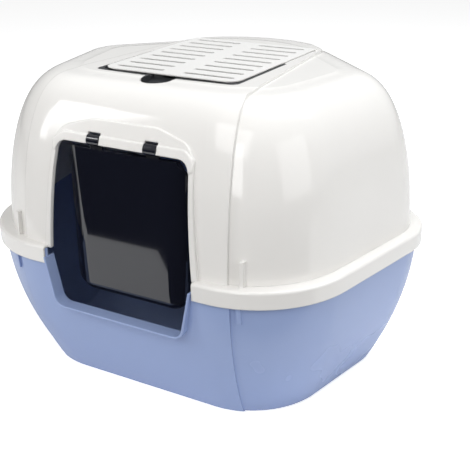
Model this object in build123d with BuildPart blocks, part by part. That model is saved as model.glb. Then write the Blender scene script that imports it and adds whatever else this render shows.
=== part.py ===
from build123d import *
from math import pi, sin
import os

# Covered corner litter box, in millimetres, +Z up.
# X runs across the front, with +X to the right as the front is looked at. The front faces -Y.
# Places along Y are measured from the rim's front edge. The finished pieces are moved so that
# the origin is on the floor, in the middle of the box's width and depth.

# Plan of the rim: a straight front, two flared sides and two back walls at a right angle
front_half = 235.0
ear_x = 300.0
ear_y = 302.0
front_radius = 134.0
ear_radius = 90.0
back_radius = 190.0
corner_tightening = 0.5

# Heights of the main levels
rim_bottom = 181.0
rim_top = 203.0
hood_top = 408.0

# Walls, and the gap where one piece seats on another
tray_wall = 2.6
tray_floor = 3.0
hood_wall = 2.4
skirt_wall = 2.5
ledge_wall = 3.0
rim_round = 3.4
seat_gap = 0.3

# Tray profile: the walls draw in towards the floor along a parabola
tray_top_inset = 6.0
tray_draw_in = 52.0
tray_sections = 8
tray_foot_round = 6.0

# Hood profile: nearly upright at the rim, closing over in a full round dome
hood_foot_inset = 15.5
dome_depth = 95.0
dome_fullness = 3.12
hood_lean = 4.0
hood_sections = 10

# Raised middle band of the hood, with a step along both of its edges
band_step = 3.5
band_rise = 3.0
band_front_half = 153.5
band_shoulder_half = 134.0
band_shoulder_y = 92.0
band_back_half = 105.0
band_back_y = 372.0
band_shoulder_round = 60.0
band_back_round = 40.0
band_apex_round = 80.0

# Raised middle band of the tray's front wall
tray_band_step = 2.5
tray_band_half_brim = 158.0
tray_band_half_floor = 144.0
tray_band_floor_y = 64.0

# Doorway in the hood, with a trim around it and a gap in the rim below it
door_half_bottom = 108.0
door_half_shoulder = 98.0
door_shoulder_z = 305.0
door_shoulder_round = 120.0
door_half_top = 94.5
door_top = 341.0
door_corner = 15.0
rim_gap_half = 110.0
trim_width = 6.0
trim_step = 3.0

# Entry notch in the tray, with its projecting lip
sill_z = 127.0
sill_half = 93.5
sill_corner = 14.0
lip_wall = 2.8
lip_front = 3.0
lip_back = 15.0
lip_side_gap = 0.7
lip_top = 190.0
lip_bend = 30.0
lip_edge_round = 1.1

# Moulded brow over the doorway, with a thicker roll along its foot and a channel above each hook
brow_step = 2.4
brow_height = 28.0
brow_top_half = 46.0
brow_side_height = 16.0
brow_side_half = 90.0
brow_foot_half = 102.0
brow_foot_round = 9.0
brow_top_round = 27.0
brow_foot_corner = 5.0
brow_edge_round = 1.6
roll_step = 4.5
roll_height = 10.5
roll_top_half = 88.0
roll_top_round = 12.0
roll_edge_round = 2.4
brow_channel_height = 21.0
brow_channel_step = 0.8

# Locating ribs on the front: a tall pair on the hood and a short pair below it on the tray
rib_x = 166.4
rib_width = 5.0
hood_rib_step = 5.5
hood_rib_height = 31.0
tray_rib_step = 3.2
tray_rib_height = 21.0
tray_rib_gap = 1.5

# Hinge of the door flap: two open hooks that turn on round bars in the hood
hinge_y = 34.0
hinge_rise = 3.5
hinge_bar_radius = 3.4
hinge_clearance = 0.08
hook_wall = 3.6
hook_x = 41.0
hook_width = 17.5
hook_side_gap = 0.7
hook_mouth_low = -60.0
hook_mouth_high = 20.0
notch_margin = 2.2
cheek_width = 4.0
cheek_reach = 4.4

# Door flap: a shallow dish with a flat front, swept-back sides and a facet on each upper corner
flap_bottom_half = 85.0
flap_waist_half = 84.5
flap_waist_drop = 37.0
flap_waist_round = 60.0
flap_top_half = 92.0
flap_ear_drop = 13.0
flap_ear_round = 16.0
flap_top_drop = 9.3
flap_length = 195.0
flap_bottom_round = 28.0
flap_set = 6.0
flap_depth = 15.0
flap_shoulder = 30.0
flap_wall = 2.4
flap_curl = 13.0
flap_sweep_half = 100.0
flap_sweep_round = 40.0
flap_facet_x = 74.0
flap_facet_set = 1.0
flap_facet_slope = (0.84, -0.36, 0.40)

# Vent lid in the roof, with slots in two columns and a hinge along its back edge
lid_half = 98.5
lid_front_y = 130.0
lid_hinge_y = 361.0
lid_height = 3.0
lid_plate = 1.4
lid_skirt_inset = 4.0
lid_skirt_wall = 1.6
lid_rise = 1.2
lid_round = 18.0
lid_gap = 0.9
lid_barrel_radius = 3.6
lid_barrel_gap = 0.9
lid_pin_radius = 2.0
lid_pin_clearance = 0.08
lid_pin_length = 2.3
lid_pin_end_gap = 0.3
slot_rows = 9
slot_pitch = 24.8
slot_front = 18.0
slot_width = 6.6
slot_inner_x = 14.3
slot_border = 12.0

# Filter frame under the lid: a rim level with the roof, slots in its floor, and a finger scoop
frame_front_border = 13.0
frame_side_border = 5.0
frame_length = 141.0
frame_front_bow = 4.5
frame_bow_round = 500.0
frame_rim_gap = 6.0
frame_gap = 0.5
frame_height = 14.6
frame_wall = 11.5
frame_floor = 2.4
frame_front_round = 10.0
frame_back_round = 4.0
pocket_round = 14.0
frame_slot_pitch = 15.0
frame_slot_width = 9.0
frame_slot_border = 14.0
scoop_half = 22.0
scoop_reach = 28.0
scoop_wall = 2.2
scoop_dish = 40.0
scoop_set = 3.0
scoop_depth = 9.5
scoop_floor = 2.4

# Filter pad in the frame
pad_gap = 0.8
pad_thickness = 7.0

# Well in the roof that holds the frame, and the vent behind it
well_wall = 2.4
well_ledge = 8.0
vent_border = 10.0
vent_round = 8.0

# Lengths that only have to reach past the piece they cut
reach = 20.0
far = 400.0

# Levels and places that follow from the sizes above
tray_height = rim_top - ledge_wall - seat_gap
ledge_bottom = rim_top - ledge_wall
lobe_top = hood_top - band_rise
hinge_z = door_top + hinge_rise
hook_bore = hinge_bar_radius + hinge_clearance
hook_radius = hook_bore + hook_wall
notch_radius = hook_radius + notch_margin
notch_width = hook_width + 2 * hook_side_gap
flap_front = hinge_y - flap_set
flap_top = hinge_z - flap_top_drop
flap_bottom = flap_top - flap_length
lid_top = hood_top + lid_rise
lid_bottom = lid_top - lid_height
lid_hinge_z = lid_top - lid_barrel_radius
recess_floor = lid_bottom - seat_gap
channel_radius = lid_barrel_radius + lid_barrel_gap
channel_half = lid_half + lid_gap
frame_half = lid_half + frame_side_border
frame_front = lid_front_y - frame_front_border
frame_back = frame_front + frame_length
frame_top = recess_floor
frame_bottom = frame_top - frame_height
scoop_bottom = frame_top - scoop_depth
vent_half = lid_half - well_ledge
vent_front = frame_back + vent_border
vent_back = lid_hinge_y - vent_border

# Working planes: the front one looks at the doorway, the side ones lie across the two hinges
front_plane = Plane.XZ.offset(reach)
hook_plane = Plane(origin=(0, hinge_y, hinge_z), x_dir=(0, 1, 0), z_dir=(1, 0, 0))
lid_hinge_plane = Plane(origin=(0, lid_hinge_y, lid_hinge_z), x_dir=(0, 1, 0), z_dir=(1, 0, 0))


def inset_corners(corners, inset):
    """The same corners with every side moved inwards by inset."""
    moved = []
    for i, corner in enumerate(corners):
        before = (corner - corners[i - 1]).normalized().rotate(Axis.Z, 90)
        after = (corners[(i + 1) % len(corners)] - corner).normalized().rotate(Axis.Z, 90)
        moved.append(corner + (before + after) * (inset / (1 + before.dot(after))))
    return moved


def rounded_face(corners, radii, plane):
    """Flat face with the given corners, each rounded by its radius."""
    with BuildSketch(plane) as face:
        with BuildLine():
            FilletPolyline(*corners, radius=radii, close=True)
        make_face()
    return face.sketch


def mirrored_face(half, radii, plane):
    """Flat face from the corners of its right half, listed from the lowest upwards."""
    left = [(-x, y) for x, y in reversed(half)]
    return rounded_face(half + left, radii + radii[::-1], plane)


def plan_section(inset, height):
    """Rounded plan of the box at one height, drawn in from the rim by inset."""
    rim = [(-front_half, 0), (front_half, 0), (ear_x, ear_y), (0, ear_x + ear_y), (-ear_x, ear_y)]
    corners = inset_corners([Vector(x, y) for x, y in rim], inset)
    front, ear, back = [r - corner_tightening * inset for r in (front_radius, ear_radius, back_radius)]
    return rounded_face(corners, [front, front, ear, back, ear], Plane.XY.offset(height))


def tray_form(extra, bottom, top):
    """Closed form of the tray, drawn in by extra, between two heights."""
    sections = []
    for i in range(tray_sections + 1):
        z = bottom + (top - bottom) * i / tray_sections
        inset = tray_top_inset + tray_draw_in * (1 - z / tray_height) ** 2
        sections.append(plan_section(inset + extra, z))
    with BuildPart() as form:
        loft(sections)
        fillet(form.faces().sort_by(Axis.Z)[0].edges(), tray_foot_round - max(extra, 0))
    return form.part


def tray_band_form(extra, bottom, top):
    """The part of the tray's form that lies in its raised front band."""
    low = tray_band_half_floor - extra
    high = tray_band_half_brim - extra
    half = [(high, 0), (low, tray_band_floor_y), (low, far / 2)]
    with BuildPart() as band:
        add(tray_form(extra - tray_band_step, bottom, top))
        with BuildSketch(Plane.XY.offset(bottom)):
            with BuildLine():
                Polyline(*half, *[(-x, y) for x, y in reversed(half)], close=True)
            make_face()
        extrude(amount=far, mode=Mode.INTERSECT)
    return band.part


def hood_form(extra, foot, top):
    """Closed form of the hood, drawn in by extra, from its foot to its flat top."""
    sections = [plan_section(hood_foot_inset + extra, foot)]
    for i in range(hood_sections + 1):
        rise = sin(pi / 2 * i / hood_sections)
        closing = 1 - (1 - rise**2) ** (1 / dome_fullness)
        inset = hood_foot_inset + hood_lean * rise + dome_depth * closing
        sections.append(plan_section(inset + extra, rim_top + (top - rim_top) * rise))
    with BuildPart() as form:
        loft(sections)
    return form.part


def band_form(extra, foot, top):
    """The part of the hood's form that lies in its raised band."""
    right = [(band_front_half, 0), (band_shoulder_half, band_shoulder_y), (band_back_half, band_back_y)]
    apex = [(0, band_back_y + band_back_half)]
    left = [(-x, y) for x, y in reversed(right)]
    corners = inset_corners([Vector(x, y) for x, y in right + apex + left], extra)
    side = [1, band_shoulder_round, band_back_round]
    with BuildPart() as band:
        add(hood_form(extra - band_step, foot, top))
        plan = rounded_face(corners, side + [band_apex_round] + side[::-1], Plane.XY.offset(foot))
        extrude(plan, amount=far, mode=Mode.INTERSECT)
    return band.part


def front_ribs(form, bottom, height):
    """The parts of a form that lie in a pair of narrow upright strips on the front."""
    with BuildPart() as ribs:
        add(form)
        with BuildSketch(Plane.XY.offset(bottom)):
            with Locations((-rib_x, 0), (rib_x, 0)):
                Rectangle(rib_width, 2 * tray_band_floor_y)
        extrude(amount=height, mode=Mode.INTERSECT)
    return ribs.part


def door_face(margin, foot):
    """Doorway as seen from the front, widened by margin, down to the height of its foot."""
    half = [
        (door_half_bottom + margin, foot),
        (door_half_shoulder + margin, door_shoulder_z),
        (door_half_top + margin, door_top + margin),
    ]
    return mirrored_face(half, [1, door_shoulder_round, door_corner + margin], front_plane)


def entry_face(margin):
    """Entry notch as seen from the front, widened by margin, open at its top."""
    inner_top = rim_gap_half - lip_side_gap - lip_wall + margin
    half = [(sill_half + margin, sill_z - margin), (inner_top, lip_top), (inner_top, lip_top + reach)]
    return mirrored_face(half, [sill_corner + margin, lip_bend, 1], front_plane)


def flap_face(margin):
    """Door flap as seen from the front, drawn in by margin, with its top edge raised."""
    half = [
        (flap_bottom_half - margin, flap_bottom + margin),
        (flap_waist_half - margin, flap_top - flap_waist_drop),
        (flap_top_half - margin, flap_top - flap_ear_drop),
        (flap_top_half - margin, flap_top + reach),
    ]
    radii = [flap_bottom_round - margin, flap_waist_round, flap_ear_round, flap_ear_round]
    return mirrored_face(half, radii, Plane.XZ.offset(-flap_front - margin))


def flap_plan(margin):
    """Door flap as seen from above, drawn in by margin, with its sides swept back."""
    half = flap_sweep_half - margin
    front = flap_front + margin
    corners = [(-half, front), (half, front), (half, front + far), (-half, front + far)]
    sweep = flap_sweep_round - margin
    return rounded_face(corners, [sweep, sweep, 1, 1], Plane.XY.offset(flap_bottom - reach))


def flap_block(margin):
    """Door flap's outer form, drawn in by margin and deeper than the flap."""
    with BuildPart() as block:
        extrude(flap_face(margin), amount=-2 * flap_depth)
        fillet(block.faces().sort_by(Axis.Y)[0].edges(), flap_curl - margin)
        extrude(flap_plan(margin), amount=far, mode=Mode.INTERSECT)
        with BuildSketch(Plane.XY.offset(flap_top - margin)):
            Rectangle(far, far)
        extrude(amount=2 * reach, mode=Mode.SUBTRACT)
        for side in (-1, 1):
            corner = (side * flap_facet_x, flap_front + flap_facet_set, flap_top)
            facet = Plane(origin=corner, z_dir=(side * flap_facet_slope[0], *flap_facet_slope[1:]))
            with BuildSketch(facet.offset(-margin)):
                Rectangle(4 * reach, 4 * reach)
            extrude(amount=2 * reach, mode=Mode.SUBTRACT)
    return block.part


def frame_face(margin, height):
    """Plan of the filter frame with its bowed front edge, widened by margin."""
    half = frame_half + margin
    front = frame_front - margin
    back = frame_back + margin
    side = front + frame_front_bow
    corners = [(-half, side), (0, front), (half, side), (half, back), (-half, back)]
    corner_round = frame_front_round + margin
    radii = [corner_round, frame_bow_round, corner_round, frame_back_round, frame_back_round]
    return rounded_face(corners, radii, Plane.XY.offset(height))


def pocket_face(inset, height):
    """Plan of the filter's pocket, set in from the frame's sides by inset."""
    half = frame_half - inset
    front = frame_front + frame_front_bow + inset
    back = frame_back - inset
    corners = [(-half, front), (half, front), (half, back), (-half, back)]
    return rounded_face(corners, [pocket_round - inset] * 4, Plane.XY.offset(height))


def lid_face(margin, front_margin, height):
    """Plan of the vent lid, widened by its own margins at the sides and at the front."""
    half = lid_half + margin
    front = lid_front_y - front_margin
    corners = [(-half, front), (half, front), (half, lid_hinge_y), (-half, lid_hinge_y)]
    return rounded_face(corners, [lid_round + margin, lid_round + margin, 1, 1], Plane.XY.offset(height))


def scoop_block(margin, bottom, height):
    """Upright block with the plan of the finger scoop, widened by margin."""
    with BuildPart() as block:
        with BuildSketch(Plane.XY.offset(bottom)):
            with Locations((0, frame_front)):
                Ellipse(scoop_half + margin, scoop_reach + margin)
        extrude(amount=height)
    return block.part


def well_block():
    """Solid surround of the roof's openings: deep at the frame and shallow at the vent."""
    around = frame_gap + well_wall
    rear_bottom = lid_hinge_z - channel_radius - well_wall
    rear_back = lid_hinge_y + channel_radius + well_wall
    with BuildPart() as block:
        extrude(frame_face(around, frame_bottom - seat_gap - well_wall), amount=reach * 2)
        add(scoop_block(around, scoop_bottom - seat_gap - well_wall, reach))
        with BuildSketch(Plane.XY.offset(rear_bottom)):
            with Locations((0, frame_back)):
                rear_width = 2 * (frame_half + around)
                Rectangle(rear_width, rear_back - frame_back, align=(Align.CENTER, Align.MIN))
        extrude(amount=reach)
    return block.part


# Tray: one moulded pan with a raised front band, two short ribs and an entry notch
with BuildPart() as pan:
    add(tray_form(0, 0, tray_height))
    add(tray_band_form(0, 0, tray_height))
    tray_rib_bottom = rim_bottom - tray_rib_gap - tray_rib_height
    add(front_ribs(tray_form(-tray_rib_step, 0, tray_height), tray_rib_bottom, tray_rib_height))
    add(tray_form(tray_wall, tray_floor, tray_height + 1), mode=Mode.SUBTRACT)
    add(tray_band_form(tray_wall, tray_floor, tray_height + 1), mode=Mode.SUBTRACT)
    extrude(entry_face(lip_wall / 2), amount=-far / 2, mode=Mode.SUBTRACT)

# Lip: an even wall around the notch, from ahead of the pan's front wall to behind it
with BuildPart() as lip:
    with BuildSketch(front_plane):
        add(entry_face(lip_wall))
        add(entry_face(0), mode=Mode.SUBTRACT)
        with Locations((0, lip_top)):
            Rectangle(far, far, align=(Align.CENTER, Align.MAX), mode=Mode.INTERSECT)
    extrude(amount=-(reach + lip_back))
    with BuildSketch(front_plane):
        Rectangle(far, 2 * far)
    extrude(amount=-(reach - lip_front), mode=Mode.SUBTRACT)
    fillet(lip.faces().sort_by(Axis.Y)[0].edges(), lip_edge_round)

with BuildPart() as litter_tray:
    add(pan.part)
    add(lip.part)
litter_tray.part.label = "litter_tray"

# Inside of the hood, which leaves the walls of the roof's well standing
with BuildPart() as cavity:
    add(hood_form(hood_wall, ledge_bottom - 1, lobe_top - hood_wall))
    add(band_form(hood_wall, ledge_bottom - 1, hood_top - hood_wall))
    add(well_block(), mode=Mode.SUBTRACT)

# Trim: a low rib along both sides of the doorway
with BuildPart() as trim:
    add(hood_form(-band_step - trim_step, ledge_bottom, hood_top))
    extrude(door_face(trim_width, ledge_bottom), amount=-far, mode=Mode.INTERSECT)

# Brow: a shallow pad over the doorway that tapers down at both ends, with a roll along its foot
with BuildPart() as brow:
    add(hood_form(-band_step - brow_step, ledge_bottom, hood_top))
    brow_half = [
        (brow_foot_half, door_top - door_corner),
        (brow_foot_half, door_top),
        (brow_side_half, door_top + brow_side_height),
        (brow_top_half, door_top + brow_height),
    ]
    brow_radii = [brow_foot_corner, brow_foot_round, brow_top_round, brow_top_round]
    extrude(mirrored_face(brow_half, brow_radii, front_plane), amount=-far, mode=Mode.INTERSECT)
    fillet(brow.faces().sort_by(Axis.Y)[0].edges(), brow_edge_round)
with BuildPart() as roll:
    add(hood_form(-band_step - roll_step, ledge_bottom, hood_top))
    roll_half = brow_half[:2] + [(roll_top_half, door_top + roll_height)]
    roll_radii = brow_radii[:2] + [roll_top_round]
    extrude(mirrored_face(roll_half, roll_radii, front_plane), amount=-far, mode=Mode.INTERSECT)
    fillet(roll.faces().sort_by(Axis.Y)[0].edges(), roll_edge_round)

# Channels: the space over each hook, down to a little above the band's surface
with BuildPart() as channels:
    with BuildSketch(front_plane):
        with Locations((-hook_x, door_top), (hook_x, door_top)):
            Rectangle(notch_width, 2 * brow_channel_height)
    extrude(amount=-(reach + hinge_y))
    add(hood_form(-band_step - brow_channel_step, ledge_bottom, hood_top), mode=Mode.SUBTRACT)

# Rim: a deep skirt that hangs over the tray's brim
with BuildPart() as rim:
    extrude(plan_section(0, rim_bottom), amount=rim_top - rim_bottom)
    fillet(rim.faces().sort_by(Axis.Z)[-1].edges(), rim_round)
    skirt_depth = ledge_bottom - rim_bottom
    extrude(plan_section(skirt_wall, rim_bottom - 1), amount=skirt_depth + 1, mode=Mode.SUBTRACT)

with BuildPart() as hood:
    add(rim.part)
    add(hood_form(0, ledge_bottom, lobe_top))
    add(band_form(0, ledge_bottom, hood_top))
    add(trim.part)
    add(brow.part)
    add(roll.part)
    add(channels.part, mode=Mode.SUBTRACT)
    rib_form = hood_form(-hood_rib_step, ledge_bottom, lobe_top)
    add(front_ribs(rib_form, ledge_bottom, hood_rib_height + ledge_wall))
    add(cavity.part, mode=Mode.SUBTRACT)

    # The rim stops short of the doorway on both sides, and the doorway runs down to it
    with BuildSketch(Plane.XY.offset(rim_bottom - 1)):
        gap_depth = reach + hood_foot_inset - band_step - trim_step
        with Locations((0, -reach)):
            Rectangle(2 * rim_gap_half, gap_depth, align=(Align.CENTER, Align.MIN))
    extrude(amount=rim_top - rim_bottom + 2, mode=Mode.SUBTRACT)
    extrude(door_face(0, rim_bottom - reach), amount=-far / 2, mode=Mode.SUBTRACT)

    # Two notches over the doorway, each with a bar held between two cheeks
    with BuildSketch(front_plane):
        with Locations((-hook_x, hinge_z), (hook_x, hinge_z)):
            Rectangle(notch_width, reach, align=(Align.CENTER, Align.MAX))
    extrude(amount=-(reach + hinge_y), mode=Mode.SUBTRACT)
    for side in (-1, 1):
        bar_half = (notch_width + cheek_width) / 2
        with BuildSketch(hook_plane.offset(side * hook_x)):
            Circle(notch_radius)
        extrude(amount=notch_width / 2, both=True, mode=Mode.SUBTRACT)
        for end in (-1, 1):
            with BuildSketch(hook_plane.offset(side * hook_x + end * bar_half)):
                Rectangle(2 * cheek_reach, 2 * hinge_rise)
            extrude(amount=cheek_width / 2, both=True)
        with BuildSketch(hook_plane.offset(side * hook_x)):
            Circle(hinge_bar_radius)
        extrude(amount=bar_half, both=True)

    # Roof: pocket for the frame and its scoop, recess for the lid, and the air openings below them
    extrude(frame_face(frame_gap, frame_bottom - seat_gap), amount=far, mode=Mode.SUBTRACT)
    add(scoop_block(frame_gap, scoop_bottom - seat_gap, reach), mode=Mode.SUBTRACT)
    extrude(lid_face(lid_gap, lid_gap, recess_floor), amount=reach, mode=Mode.SUBTRACT)
    extrude(pocket_face(well_ledge, frame_bottom - reach), amount=reach, mode=Mode.SUBTRACT)
    with BuildSketch(Plane.XY.offset(recess_floor - reach)):
        with Locations((0, (vent_front + vent_back) / 2)):
            RectangleRounded(2 * vent_half, vent_back - vent_front, vent_round)
    extrude(amount=reach, mode=Mode.SUBTRACT)

    # Channel for the lid's barrel, open at the top, with a bore for a pin at each end
    with BuildSketch(lid_hinge_plane):
        Circle(channel_radius)
        Rectangle(2 * channel_radius, reach, align=(Align.CENTER, Align.MIN))
    extrude(amount=channel_half, both=True, mode=Mode.SUBTRACT)
    with BuildSketch(lid_hinge_plane):
        Circle(lid_pin_radius + lid_pin_clearance)
    extrude(amount=channel_half + lid_pin_length + lid_pin_end_gap, both=True, mode=Mode.SUBTRACT)
hood.part.label = "hood"

# Door flap: a thin dish, less deep at its top, with a hook on each of two short necks
with BuildPart() as flap:
    add(flap_block(0))
    add(flap_block(flap_wall), mode=Mode.SUBTRACT)
    with BuildSketch(Plane.YZ):
        with BuildLine():
            ahead = flap_front - reach
            behind = flap_front + flap_depth
            low = flap_bottom - reach
            shoulder = (behind, flap_top - flap_shoulder)
            neck_end = (hinge_y + flap_wall, flap_top)
            Polyline((ahead, low), (behind, low), shoulder, neck_end, (ahead, flap_top), close=True)
        make_face()
    extrude(amount=far, both=True, mode=Mode.INTERSECT)
    for side in (-1, 1):
        with BuildSketch(hook_plane.offset(side * hook_x)):
            Circle(hook_radius)
            with BuildLine():
                edge = 2 * hook_radius
                low_end = Vector(edge, 0).rotate(Axis.Z, hook_mouth_low)
                high_end = Vector(edge, 0).rotate(Axis.Z, hook_mouth_high)
                Polyline((0, 0), (low_end.X, low_end.Y), (high_end.X, high_end.Y), close=True)
            make_face(mode=Mode.SUBTRACT)
            with Locations((0, -hinge_bar_radius)):
                neck_height = flap_top_drop + flap_wall / 2 - hinge_bar_radius
                Rectangle(flap_wall, neck_height, align=(Align.MIN, Align.MAX))
            Circle(hook_bore, mode=Mode.SUBTRACT)
        extrude(amount=hook_width / 2, both=True)
flap.part.label = "door_flap"

# Vent lid: a thin slotted plate on a low skirt, with a hinge barrel and two stub pins at its back
with BuildPart() as vent_lid:
    skirt_outer = -lid_skirt_inset
    skirt_inner = skirt_outer - lid_skirt_wall
    extrude(lid_face(skirt_outer, skirt_outer, lid_bottom), amount=lid_height)
    extrude(lid_face(skirt_inner, skirt_inner, lid_bottom), amount=lid_height, mode=Mode.SUBTRACT)
    extrude(lid_face(0, 0, lid_top - lid_plate), amount=lid_plate)
    with BuildSketch(lid_hinge_plane):
        Circle(lid_barrel_radius)
    extrude(amount=lid_half, both=True)
    with BuildSketch(lid_hinge_plane):
        Circle(lid_pin_radius)
    extrude(amount=channel_half + lid_pin_length, both=True)
    slot_outer_x = lid_half - slot_border
    slot_x = (slot_inner_x + slot_outer_x) / 2
    with BuildSketch(Plane.XY.offset(lid_bottom)):
        for row in range(slot_rows):
            slot_y = lid_front_y + slot_front + row * slot_pitch
            with Locations((-slot_x, slot_y), (slot_x, slot_y)):
                SlotOverall(slot_outer_x - slot_inner_x, slot_width)
    extrude(amount=lid_height, mode=Mode.SUBTRACT)
vent_lid.part.label = "vent_lid"

# Filter frame: a shallow slotted tray whose rim and finger scoop follow the hood's curve
with BuildPart() as frame_plan:
    extrude(frame_face(0, frame_bottom), amount=far)
    add(scoop_block(0, scoop_bottom, far))
with BuildPart() as filter_frame:
    add(band_form(seat_gap, ledge_bottom, hood_top - seat_gap))
    add(frame_plan.part, mode=Mode.INTERSECT)
    extrude(lid_face(lid_gap, frame_rim_gap, frame_top), amount=reach, mode=Mode.SUBTRACT)
    extrude(pocket_face(frame_wall, frame_bottom + frame_floor), amount=reach, mode=Mode.SUBTRACT)
    with BuildSketch(Plane.YZ):
        with Locations((frame_front - scoop_set, scoop_bottom + scoop_floor + scoop_dish)):
            Circle(scoop_dish)
    extrude(amount=scoop_half - scoop_wall, both=True, mode=Mode.SUBTRACT)
    slot_span = frame_length - 2 * frame_slot_border
    with BuildSketch(Plane.XY.offset(frame_bottom)):
        with Locations((0, (frame_front + frame_back) / 2)):
            with GridLocations(frame_half, frame_slot_pitch, 2, int(slot_span / frame_slot_pitch)):
                SlotOverall(frame_half - 2 * frame_slot_border, frame_slot_width)
    extrude(amount=frame_floor, mode=Mode.SUBTRACT)
filter_frame.part.label = "filter_frame"

# Filter pad: a flat foam block that lies in the frame
with BuildPart() as filter_pad:
    pad_bottom = frame_bottom + frame_floor + seat_gap
    extrude(pocket_face(frame_wall + pad_gap, pad_bottom), amount=pad_thickness)
filter_pad.part.label = "filter_pad"

middle_y = plan_section(0, 0).bounding_box().center().Y
os.makedirs("parts", exist_ok=True)
for piece in (litter_tray, hood, flap, vent_lid, filter_frame, filter_pad):
    piece.part.position = (0, -middle_y, 0)
    export_step(piece.part, f"parts/{piece.part.label}.step")
    print(piece.part.label, piece.part.is_valid, len(piece.part.solids()), round(piece.part.volume))
print("middle", round(middle_y, 3), "flap centre", flap.part.center(CenterOf.MASS))
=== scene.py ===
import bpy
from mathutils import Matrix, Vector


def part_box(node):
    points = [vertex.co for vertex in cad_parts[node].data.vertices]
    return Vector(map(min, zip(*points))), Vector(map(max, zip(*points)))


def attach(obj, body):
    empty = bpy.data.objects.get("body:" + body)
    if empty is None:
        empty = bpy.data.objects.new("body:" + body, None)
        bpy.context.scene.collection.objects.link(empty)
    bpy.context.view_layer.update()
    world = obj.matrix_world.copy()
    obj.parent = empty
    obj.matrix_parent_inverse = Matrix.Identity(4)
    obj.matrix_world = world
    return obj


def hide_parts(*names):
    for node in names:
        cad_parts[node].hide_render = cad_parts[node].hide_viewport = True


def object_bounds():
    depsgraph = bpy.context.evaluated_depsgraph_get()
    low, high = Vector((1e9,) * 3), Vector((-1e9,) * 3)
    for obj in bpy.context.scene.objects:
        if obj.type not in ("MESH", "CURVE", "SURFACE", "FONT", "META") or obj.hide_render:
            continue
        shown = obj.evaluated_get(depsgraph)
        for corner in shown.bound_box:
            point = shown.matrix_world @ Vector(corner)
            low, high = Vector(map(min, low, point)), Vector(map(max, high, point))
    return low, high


bl_info = {
    "name": "Covered Corner Litter Box",
    "version": (1, 0, 0),
    "blender": (4, 5, 0),
    "location": "3D View > Sidebar > Litter Box",
    "description": "Finishes a covered corner litter box: tray, hood, flap, vent and filter",
    "category": "Object",
}

from math import cos, radians, sin

import bmesh
import bpy
from bpy.props import FloatProperty, FloatVectorProperty, PointerProperty
from mathutils import Matrix, Vector

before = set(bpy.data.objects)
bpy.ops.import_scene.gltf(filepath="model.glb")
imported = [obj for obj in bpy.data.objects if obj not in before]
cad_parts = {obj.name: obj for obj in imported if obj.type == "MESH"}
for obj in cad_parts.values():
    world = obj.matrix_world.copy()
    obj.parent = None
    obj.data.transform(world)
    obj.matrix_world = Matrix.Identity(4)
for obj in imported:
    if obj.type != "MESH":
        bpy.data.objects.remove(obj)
cad_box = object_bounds()

# Photograph: side of the square picture and focal length, both in pixels, and the camera's place
PICTURE_SIDE = 470
FOCAL_LENGTH = 859.5
CAMERA_EYE = (0.5923, -1.00855, 0.6414)
CAMERA_AZIMUTH = radians(29.52)
CAMERA_ELEVATION = radians(23.06)
CAMERA_ROLL = radians(-0.54)
SENSOR_WIDTH = 36.0

# Table's front edge, as the door flap mirrors it: it stays just outside the picture
TABLE_EDGE = ((-0.24, -0.64), (-0.10, -0.50), (0.02, -0.44), (0.45, -0.215))

# Stage: colours of the table and the surroundings, and the share of the surroundings' light that
# reflections lose below the table's level
PAPER = (0.9, 0.9, 0.9, 1.0)
WHITE = (1.0, 1.0, 1.0, 1.0)
DARK_BELOW = 0.96

# Lamps: name, place, width and height, power in watts, and colour, all turned to one point
LAMP_AIM = (0.0, 0.0, 0.2)
LAMPS = (
    ("overhead_softbox", (0.5, 0.6, 1.9), (1.3, 1.3), 27.0, (0.96, 0.98, 1.0)),
    ("left_strip", (-1.5, -1.5, 1.2), (0.4, 1.2), 9.0, (1.0, 1.0, 1.0)),
    ("front_strip", (0.42, -2.0, 1.05), (0.35, 1.15), 6.0, (1.0, 1.0, 1.0)),
    ("front_softbox", (0.1, -1.6, 1.6), (1.3, 1.0), 11.0, (1.0, 1.0, 1.0)),
    ("right_softbox", (1.85, -0.56, 0.96), (1.2, 1.2), 8.0, (1.0, 1.0, 1.0)),
)

# Moulded plastic: how far its tint strays, its noise scales per metre, and its fine relief
PALE_TINT = 1.03
DEEP_TINT = 0.965
FLOW_SCALE = 6.0
PEEL_SCALE = 420.0
FLOW_RELIEF = 3.0
GLOSS_SPREAD = 0.02
BEVEL_SAMPLES = 6
COAT_ROUGHNESS = 0.03
PLAIN_GRAIN = 0.000012
FLAP_GRAIN = 0.00001
FRAME_GRAIN = 0.00012

# Foam pad: its cells and fibres per metre, its relief, its softened corners and edges, and its fill
CELL_SCALE = 420.0
FIBRE_SCALE = 900.0
FOAM_RELIEF = 0.0006
FOAM_ROUGHNESS = 0.95
PAD_CORNER = 0.008
PAD_EDGE = 0.0012


class Value:
    """A shader socket that can be used in Python expressions."""

    def __init__(self, tree, socket):
        self.tree = tree
        self.socket = socket

    def _maths(self, operation, first, second):
        node = self.tree.nodes.new("ShaderNodeMath")
        node.operation = operation
        for slot, value in zip(node.inputs, (first, second)):
            if isinstance(value, Value):
                self.tree.links.new(value.socket, slot)
            else:
                slot.default_value = value
        return Value(self.tree, node.outputs[0])

    def __add__(self, other):
        return self._maths("ADD", self, other)

    def __radd__(self, other):
        return self._maths("ADD", other, self)

    def __sub__(self, other):
        return self._maths("SUBTRACT", self, other)

    def __rsub__(self, other):
        return self._maths("SUBTRACT", other, self)

    def __mul__(self, other):
        return self._maths("MULTIPLY", self, other)

    def __gt__(self, other):
        return self._maths("GREATER_THAN", self, other)


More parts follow.
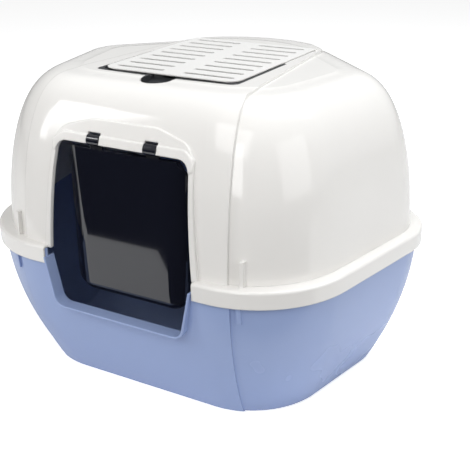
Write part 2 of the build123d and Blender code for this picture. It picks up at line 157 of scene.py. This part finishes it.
class Shader:
    """A new material's node tree, built node by node."""

    def __init__(self, name):
        self.material = bpy.data.materials.new(name)
        self.material.use_nodes = True
        self.tree = self.material.node_tree
        self.tree.nodes.clear()

    def node(self, kind, settings=None, output=0, **inputs):
        """Adds a node, makes its settings, feeds its sockets and gives one of its outputs."""
        node = self.tree.nodes.new("ShaderNode" + kind)
        for name, value in (settings or {}).items():
            setattr(node, name, value)
        for name, value in inputs.items():
            key = int(name[1:]) if name[0] == "_" else name.replace("_", " ")
            if isinstance(value, Value):
                self.tree.links.new(value.socket, node.inputs[key])
            else:
                node.inputs[key].default_value = value
        return Value(self.tree, node.outputs[output])

    def finish(self, surface):
        """Joins the surface to the material's output and gives the material."""
        output = self.tree.nodes.new("ShaderNodeOutputMaterial")
        self.tree.links.new(surface.socket, output.inputs["Surface"])
        return self.material

    def mix(self, factor, first, second):
        """Mixes two colours by a factor."""
        return self.node(
            "Mix", {"data_type": "RGBA"}, output=2, _0=factor, _6=(*first, 1.0), _7=(*second, 1.0)
        )


def moulded_plastic(name, colour, roughness, edge, grain=PLAIN_GRAIN, coat=0.0, alpha=1.0):
    """Injection-moulded plastic: faint flow marks, fine orange peel and softened edges."""
    shader = Shader(name)
    place = shader.node("TexCoord", output="Object")
    flow = shader.node("TexNoise", Vector=place, Scale=FLOW_SCALE, Detail=3.0, Roughness=0.5)
    peel = shader.node("TexNoise", Vector=place, Scale=PEEL_SCALE, Detail=2.0, Roughness=0.4)
    pale = [min(1.0, c * PALE_TINT) for c in colour]
    deep = [c * DEEP_TINT for c in colour]
    tint = shader.mix(flow, deep, pale)
    gloss = roughness + (flow - 0.5) * GLOSS_SPREAD
    rounded = shader.node("Bevel", {"samples": BEVEL_SAMPLES}, Radius=edge)
    height = peel + flow * FLOW_RELIEF
    relief = shader.node("Bump", Strength=1.0, Distance=grain, Height=height, Normal=rounded)
    surface = shader.node(
        "BsdfPrincipled",
        Base_Color=tint,
        Roughness=gloss,
        Normal=relief,
        Alpha=alpha,
        Coat_Weight=coat,
        Coat_Roughness=COAT_ROUGHNESS,
    )
    return shader.finish(surface)


def foam(name, colour):
    """Open-cell filter foam: small pores between struts, with painted shade making the pores darker
    than the paler struts.
    """
    shader = Shader(name)
    place = shader.node("TexCoord", output="Object")
    edges = {"feature": "DISTANCE_TO_EDGE"}
    cells = shader.node("TexVoronoi", edges, Vector=place, Scale=CELL_SCALE)
    fibre = shader.node("TexNoise", Vector=place, Scale=FIBRE_SCALE, Detail=4.0)
    # Painted shade: each cell is darker towards its middle and paler at its struts, standing in for
    # shade in the foam's pores.
    pale = [min(1.0, c * 1.9 + 0.01) for c in colour]
    tint = shader.mix(cells * 2.0, pale, colour)
    height = cells + fibre * 0.3
    relief = shader.node("Bump", Strength=0.8, Distance=FOAM_RELIEF, Height=height)
    surface = shader.node(
        "BsdfPrincipled", Base_Color=tint, Roughness=FOAM_ROUGHNESS, Normal=relief
    )
    return shader.finish(surface)


def dress(node, material):
    """Gives a node of the frame its material."""
    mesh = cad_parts[node].data
    mesh.materials.clear()
    mesh.materials.append(material)


def colour_setting(name, description, default):
    """Describes a colour that the user can change."""
    return FloatVectorProperty(
        name=name,
        description=description,
        subtype="COLOR",
        size=3,
        min=0.0,
        max=1.0,
        default=default,
    )


def share_setting(name, description, default):
    """Describes a number from 0 to 1 that the user can change."""
    return FloatProperty(
        name=name, description=description, subtype="FACTOR", min=0.0, max=1.0, default=default
    )


def length_setting(name, description, default):
    """Describes a length that the user can change."""
    return FloatProperty(
        name=name, description=description, unit="LENGTH", min=0.0, default=default
    )


class TraySettings(bpy.types.PropertyGroup):
    """Looks of the tray"""

    colour: colour_setting("Colour", "Colour of the tray", (0.33, 0.42, 0.68))
    roughness: share_setting("Roughness", "Roughness of the tray's surface", 0.27)
    edge: length_setting("Edge", "Softness of the tray's edges", 0.0010)


class HoodSettings(bpy.types.PropertyGroup):
    """Looks of the hood"""

    colour: colour_setting("Colour", "Colour of the hood", (0.85, 0.835, 0.81))
    roughness: share_setting("Roughness", "Roughness of the hood's surface", 0.10)
    edge: length_setting("Edge", "Softness of the hood's edges", 0.0022)


class FlapSettings(bpy.types.PropertyGroup):
    """Looks of the door flap"""

    colour: colour_setting("Colour", "Tint of the smoked flap", (0.007, 0.008, 0.015))
    solidity: share_setting("Solidity", "How little light passes the flap", 0.93)
    roughness: share_setting("Roughness", "Roughness of the flap's surface", 0.06)
    edge: length_setting("Edge", "Softness of the flap's edges", 0.0006)


class VentSettings(bpy.types.PropertyGroup):
    """Looks of the vent lid, the filter frame and the filter pad"""

    lid_colour: colour_setting("Lid colour", "Colour of the vent lid", (0.84, 0.83, 0.81))
    lid_roughness: share_setting("Lid roughness", "Roughness of the vent lid's surface", 0.30)
    lid_edge: length_setting("Lid edge", "Softness of the vent lid's edges", 0.0007)
    frame_colour: colour_setting("Frame colour", "Colour of the filter frame", (0.03, 0.032, 0.036))
    frame_roughness: share_setting("Frame roughness", "Roughness of the frame's surface", 0.42)
    frame_edge: length_setting("Frame edge", "Softness of the filter frame's edges", 0.0006)
    pad_colour: colour_setting("Pad colour", "Colour of the filter pad", (0.014, 0.014, 0.015))


class StudioSettings(bpy.types.PropertyGroup):
    """Size of the table and the light around it"""

    table_side: length_setting("Table side", "Room beside and behind the box", 4.0)
    table_lift: share_setting("Table lift", "Light that the camera alone sees on the table", 0.60)
    ambient: share_setting("Ambient", "Strength of the light from all round", 0.32)


def settings():
    """Gives the settings of the open scene."""
    return bpy.context.scene.litter_box


class LitterBoxSettings(bpy.types.PropertyGroup):
    """All settings of the litter box"""

    tray: PointerProperty(type=TraySettings)
    hood: PointerProperty(type=HoodSettings)
    flap: PointerProperty(type=FlapSettings)
    vent: PointerProperty(type=VentSettings)
    studio: PointerProperty(type=StudioSettings)


class LITTERBOX_OT_tray(bpy.types.Operator):
    """Finish the tray in its coloured plastic"""

    bl_idname = "litter_box.tray"
    bl_label = "Tray"

    def execute(self, context):
        tray = settings().tray
        plastic = moulded_plastic("tray_plastic", tray.colour, tray.roughness, tray.edge)
        dress("litter_tray", plastic)
        return {"FINISHED"}


class LITTERBOX_OT_hood(bpy.types.Operator):
    """Finish the hood in its glossy white plastic"""

    bl_idname = "litter_box.hood"
    bl_label = "Hood"

    def execute(self, context):
        hood = settings().hood
        plastic = moulded_plastic("hood_plastic", hood.colour, hood.roughness, hood.edge)
        dress("hood", plastic)
        return {"FINISHED"}


class LITTERBOX_OT_flap(bpy.types.Operator):
    """Finish the door flap in its smoked plastic"""

    bl_idname = "litter_box.flap"
    bl_label = "Door Flap"

    def execute(self, context):
        flap = settings().flap
        plastic = moulded_plastic(
            "flap_smoked",
            flap.colour,
            flap.roughness,
            flap.edge,
            grain=FLAP_GRAIN,
            coat=1.0,
            alpha=flap.solidity,
        )
        dress("door_flap", plastic)
        return {"FINISHED"}


class LITTERBOX_OT_vent(bpy.types.Operator):
    """Finish the vent lid and the filter frame under it"""

    bl_idname = "litter_box.vent"
    bl_label = "Vent Lid and Frame"

    def execute(self, context):
        vent = settings().vent
        lid_plastic = moulded_plastic(
            "lid_plastic", vent.lid_colour, vent.lid_roughness, vent.lid_edge
        )
        dress("vent_lid", lid_plastic)
        frame_plastic = moulded_plastic(
            "frame_plastic",
            vent.frame_colour,
            vent.frame_roughness,
            vent.frame_edge,
            grain=FRAME_GRAIN,
        )
        dress("filter_frame", frame_plastic)
        return {"FINISHED"}


def bevel(shape, edges, offset, segments):
    """Rounds edges of a mesh that is being made."""
    bmesh.ops.bevel(
        shape,
        geom=edges,
        offset=offset,
        affect="EDGES",
        segments=segments,
        profile=0.5,
        material=-1,
    )


class LITTERBOX_OT_pad(bpy.types.Operator):
    """Make the filter pad: a foam block with soft corners and edges"""

    bl_idname = "litter_box.pad"
    bl_label = "Filter Pad"

    def execute(self, context):
        low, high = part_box("filter_pad")
        size = high - low
        shape = bmesh.new()
        bmesh.ops.create_cube(shape, size=1.0)
        bmesh.ops.scale(shape, vec=size, verts=shape.verts)

        def rises(edge):
            return abs(edge.verts[0].co.z - edge.verts[1].co.z) > size.z / 2

        bevel(shape, [e for e in shape.edges if rises(e)], PAD_CORNER, 5)
        bevel(shape, [e for e in shape.edges if not rises(e)], PAD_EDGE, 3)
        bmesh.ops.translate(shape, vec=(low + high) / 2, verts=shape.verts)
        mesh = bpy.data.meshes.new("filter_foam_pad")
        shape.to_mesh(mesh)
        shape.free()
        pad = bpy.data.objects.new("filter_foam_pad", mesh)
        bpy.context.collection.objects.link(pad)
        mesh.materials.append(foam("pad_foam", settings().vent.pad_colour))
        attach(pad, "hood")
        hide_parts("filter_pad")
        return {"FINISHED"}


def make_table(context, studio):
    """Table: ends close ahead of the box, so that the door flap mirrors only a strip of it."""
    high = Vector(cad_box[1])
    side = high.x + studio.table_side
    back = high.y + studio.table_side
    left_end = (-side, TABLE_EDGE[0][1])
    right_end = (side, TABLE_EDGE[-1][1])
    outline = [left_end, *TABLE_EDGE, right_end, (side, back), (-side, back)]
    shape = bmesh.new()
    shape.faces.new([shape.verts.new((x, y, 0.0)) for x, y in outline])
    mesh = bpy.data.meshes.new("table")
    shape.to_mesh(mesh)
    shape.free()
    table = bpy.data.objects.new("table", mesh)
    context.collection.objects.link(table)
    paper = Shader("table_paper")
    seen = paper.node("LightPath", output="Is Camera Ray")
    diffuse = paper.node("BsdfDiffuse", Color=PAPER)
    lift = paper.node("Emission", Color=WHITE, Strength=seen * studio.table_lift)
    mesh.materials.append(paper.finish(paper.node("AddShader", _0=diffuse, _1=lift)))


def make_surroundings(scene, ambient):
    """An even light, white to the camera, and dark below the table's edge in reflections."""
    world = bpy.data.worlds.new("studio")
    scene.world = world
    world.use_nodes = True
    tree = world.node_tree
    tree.nodes.clear()
    path = tree.nodes.new("ShaderNodeLightPath")
    seen = Value(tree, path.outputs["Is Camera Ray"])
    mirrored = Value(tree, path.outputs["Is Glossy Ray"])
    place = tree.nodes.new("ShaderNodeTexCoord")
    split = tree.nodes.new("ShaderNodeSeparateXYZ")
    tree.links.new(place.outputs["Generated"], split.inputs[0])
    below = (Value(tree, split.outputs["Z"]) * -1.0) > 0.0
    strength = seen + (1.0 - seen) * ambient * (1.0 - below * mirrored * DARK_BELOW)
    background = tree.nodes.new("ShaderNodeBackground")
    background.inputs["Color"].default_value = WHITE
    tree.links.new(strength.socket, background.inputs["Strength"])
    output = tree.nodes.new("ShaderNodeOutputWorld")
    tree.links.new(background.outputs[0], output.inputs["Surface"])


def make_lamp(context, name, place, size, power, colour):
    """Rectangular softbox at a place, turned to the point that all lamps aim at."""
    light = bpy.data.lights.new(name, "AREA")
    light.shape = "RECTANGLE"
    light.size, light.size_y = size
    light.energy = power
    light.color = colour
    lamp = bpy.data.objects.new(name, light)
    lamp.location = place
    ahead = Vector(LAMP_AIM) - Vector(place)
    lamp.rotation_euler = ahead.to_track_quat("-Z", "Y").to_euler()
    context.collection.objects.link(lamp)


def make_camera(context):
    """Camera at the photograph's own place, turned and rolled as it was."""
    camera = bpy.data.objects.new("camera", bpy.data.cameras.new("camera"))
    camera.data.sensor_width = SENSOR_WIDTH
    camera.data.lens = SENSOR_WIDTH * FOCAL_LENGTH / PICTURE_SIDE
    level = cos(CAMERA_ELEVATION)
    away_x = sin(CAMERA_AZIMUTH) * level
    away_y = -cos(CAMERA_AZIMUTH) * level
    away = Vector((away_x, away_y, sin(CAMERA_ELEVATION)))
    right = Vector((cos(CAMERA_AZIMUTH), sin(CAMERA_AZIMUTH), 0.0))
    up = away.cross(right)
    turned_right = cos(CAMERA_ROLL) * right + sin(CAMERA_ROLL) * up
    turned_up = cos(CAMERA_ROLL) * up - sin(CAMERA_ROLL) * right
    turn = Matrix((turned_right, turned_up, away)).transposed().to_4x4()
    camera.matrix_world = Matrix.Translation(CAMERA_EYE) @ turn
    context.collection.objects.link(camera)
    context.scene.camera = camera


class LITTERBOX_OT_studio(bpy.types.Operator):
    """Set up the table, the surroundings, the lamps and the camera"""

    bl_idname = "litter_box.studio"
    bl_label = "Studio"

    def execute(self, context):
        studio = settings().studio
        context.scene.view_settings.view_transform = "Standard"
        make_table(context, studio)
        make_surroundings(context.scene, studio.ambient)
        for lamp in LAMPS:
            make_lamp(context, *lamp)
        make_camera(context)
        return {"FINISHED"}


class LITTERBOX_PT_panel(bpy.types.Panel):
    """Buttons and settings of the litter box"""

    bl_label = "Litter Box"
    bl_idname = "LITTERBOX_PT_panel"
    bl_space_type = "VIEW_3D"
    bl_region_type = "UI"
    bl_category = "Litter Box"

    def draw(self, context):
        for group, operators in PANEL_ROWS:
            values = getattr(context.scene.litter_box, group)
            box = self.layout.box()
            for name in values.bl_rna.properties.keys():
                if name not in ("rna_type", "name"):
                    box.prop(values, name)
            for operator in operators:
                box.operator(operator.bl_idname)


PANEL_ROWS = (
    ("tray", (LITTERBOX_OT_tray,)),
    ("hood", (LITTERBOX_OT_hood,)),
    ("flap", (LITTERBOX_OT_flap,)),
    ("vent", (LITTERBOX_OT_vent, LITTERBOX_OT_pad)),
    ("studio", (LITTERBOX_OT_studio,)),
)
CLASSES = (
    TraySettings,
    HoodSettings,
    FlapSettings,
    VentSettings,
    StudioSettings,
    LitterBoxSettings,
    LITTERBOX_OT_tray,
    LITTERBOX_OT_hood,
    LITTERBOX_OT_flap,
    LITTERBOX_OT_vent,
    LITTERBOX_OT_pad,
    LITTERBOX_OT_studio,
    LITTERBOX_PT_panel,
)


def register():
    for cls in CLASSES:
        bpy.utils.register_class(cls)
    bpy.types.Scene.litter_box = PointerProperty(type=LitterBoxSettings)


def unregister():
    del bpy.types.Scene.litter_box
    for cls in reversed(CLASSES):
        bpy.utils.unregister_class(cls)


def main():
    register()
    bpy.ops.litter_box.studio()
    bpy.ops.litter_box.tray()
    bpy.ops.litter_box.hood()
    bpy.ops.litter_box.flap()
    bpy.ops.litter_box.vent()
    bpy.ops.litter_box.pad()


if __name__ == "__main__":
    main()
